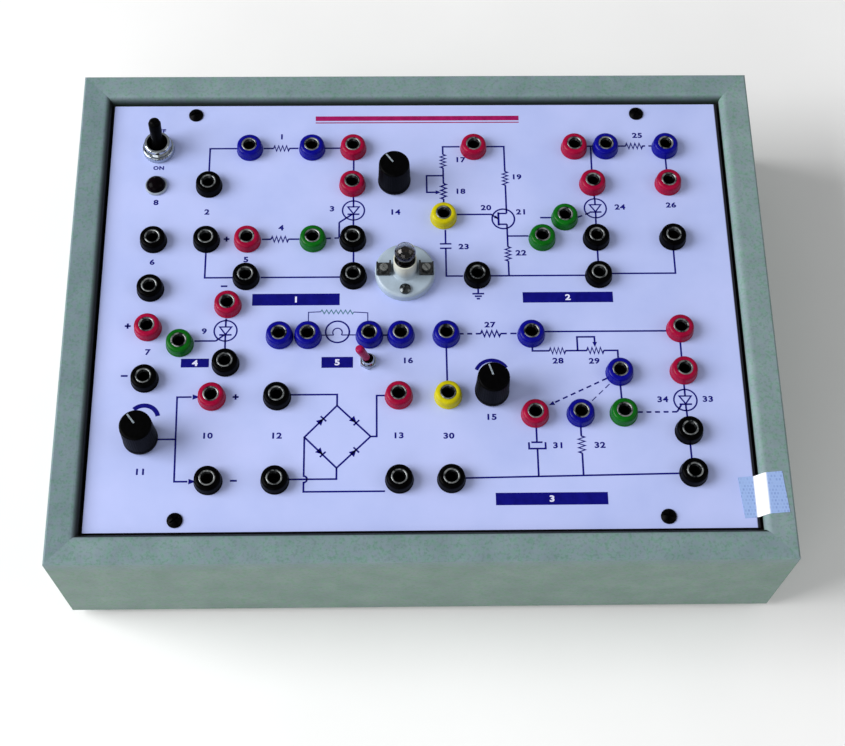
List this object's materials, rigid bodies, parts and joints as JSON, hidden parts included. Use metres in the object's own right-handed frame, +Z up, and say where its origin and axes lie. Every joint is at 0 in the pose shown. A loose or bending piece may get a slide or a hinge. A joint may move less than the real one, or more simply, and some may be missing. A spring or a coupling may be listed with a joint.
{
  "type": "power electronics trainer",
  "caption": "Shallow laminated case with a printed circuit panel, colour-coded banana sockets, toggle switches, control knobs, a power lamp and a small bulb in a holder.",
  "frame": {"origin": "under the middle of the case, on the surface that its feet stand on", "axes": "+X along the long side to the user's right, +Y to the back, +Z up out of the panel"},
  "size_m": [0.3, 0.23, 0.0904],
  "materials": {
    "laminate": "fine mottled grey-green laminate over particle board",
    "panel_print": "pale lavender printed sheet, satin",
    "pale_wood": "bare softwood",
    "hardboard": "bare brown hardboard",
    "black_rubber": "matt black rubber",
    "zinc_steel": "zinc-plated steel",
    "black_steel": "black oxide, slightly glossy",
    "black_plastic": "glossy moulded black",
    "red_plastic": "glossy moulded red",
    "blue_plastic": "glossy moulded blue",
    "green_plastic": "glossy moulded green",
    "yellow_plastic": "glossy moulded yellow",
    "plated_brass": "nickel-plated brass",
    "switch_black": "glossy black moulding",
    "chrome": "bright plated metal",
    "bakelite": "dark phenolic moulding",
    "knob_black": "satin black moulding",
    "white_line": "white paint let into the knob",
    "pot_shaft": "turned aluminium",
    "pale_base": "pale grey-white moulding",
    "brass": "plain brass",
    "bulb_glass": "clear glass",
    "tungsten": "grey wire",
    "core_steel": "varnished laminations",
    "coil": "winding under amber tape",
    "circuit_board": "green board",
    "standoff": "natural nylon",
    "capacitor": "sleeved can",
    "sink": "bare aluminium",
    "paper": "plain paper seal"
  },
  "bodies": {
    "case": {"base_board": "hardboard", "black_socket_heads": "black_plastic", "blue_socket_heads": "blue_plastic", "board_capacitors": "capacitor", "board_standoffs": "standoff", "bulb_cap": "chrome", "bulb_contact": "brass", "bulb_filament": "tungsten", "bulb_glass": "bulb_glass", "bulb_stem": "bulb_glass", "cable_bush": "black_rubber", "case_back_board": "laminate", "case_front_board": "laminate", "case_left_board": "laminate", "case_right_board": "laminate", "circuit_board": "circuit_board", "corner_blocks": "pale_wood", "foot_screws": "zinc_steel", "green_socket_heads": "green_plastic", "lamp_base": "pale_base", "lamp_contact": "brass", "lamp_fixing_screws": "zinc_steel", "lamp_shell": "chrome", "lamp_terminal_plates": "brass", "lamp_terminal_screws": "brass", "load_switch_body": "zinc_steel", "load_switch_bushing": "chrome", "load_switch_nut": "chrome", "panel": "panel_print", "panel_battens": "pale_wood", "panel_screws": "black_steel", "pot_bodies": "zinc_steel", "pot_nuts": "zinc_steel", "power_lamp_bezel": "pale_base", "power_lamp_lens": "black_plastic", "power_switch_body": "bakelite", "power_switch_bushing": "chrome", "power_switch_nut": "chrome", "red_socket_heads": "red_plastic", "regulator_sink": "sink", "rubber_feet": "black_rubber", "seal_sticker": "paper", "socket_contacts": "plated_brass", "transformer_bracket": "zinc_steel", "transformer_coil": "coil", "transformer_core": "core_steel", "yellow_socket_heads": "yellow_plastic"},
    "power_lever": {"power_lever": "switch_black"},
    "load_lever": {"load_lever": "chrome", "load_lever_sleeve": "red_plastic"},
    "gate_knob": {"gate_knob": "knob_black", "gate_knob_line": "white_line", "gate_shaft": "pot_shaft"},
    "volts_knob": {"volts_knob": "knob_black", "volts_knob_line": "white_line", "volts_shaft": "pot_shaft"},
    "rc_knob": {"rc_knob": "knob_black", "rc_knob_line": "white_line", "rc_shaft": "pot_shaft"}
  },
  "joints": [
    {"name": "power_switch_swing", "type": "hinge", "parent": "case", "child": "power_lever", "pos_m": [-0.115, 0.078, 0.0705], "axis": [1, 0, 0], "range_deg": [0, 32]},
    {"name": "load_switch_swing", "type": "hinge", "parent": "case", "child": "load_lever", "pos_m": [-0.0218, -0.0266, 0.0689], "axis": [0, 1, 0], "range_deg": [0, 36]},
    {"name": "gate_knob_turn", "type": "hinge", "parent": "case", "child": "gate_knob", "pos_m": [-0.0103, 0.0608, 0.0715], "axis": [0, 0, 1], "range_deg": [-187, 113]},
    {"name": "volts_knob_turn", "type": "hinge", "parent": "case", "child": "volts_knob", "pos_m": [-0.1149, -0.0608, 0.0715], "axis": [0, 0, 1], "range_deg": [-187, 113]},
    {"name": "rc_knob_turn", "type": "hinge", "parent": "case", "child": "rc_knob", "pos_m": [0.0297, -0.0406, 0.0715], "axis": [0, 0, 1], "range_deg": [-169, 131]}
  ]
}
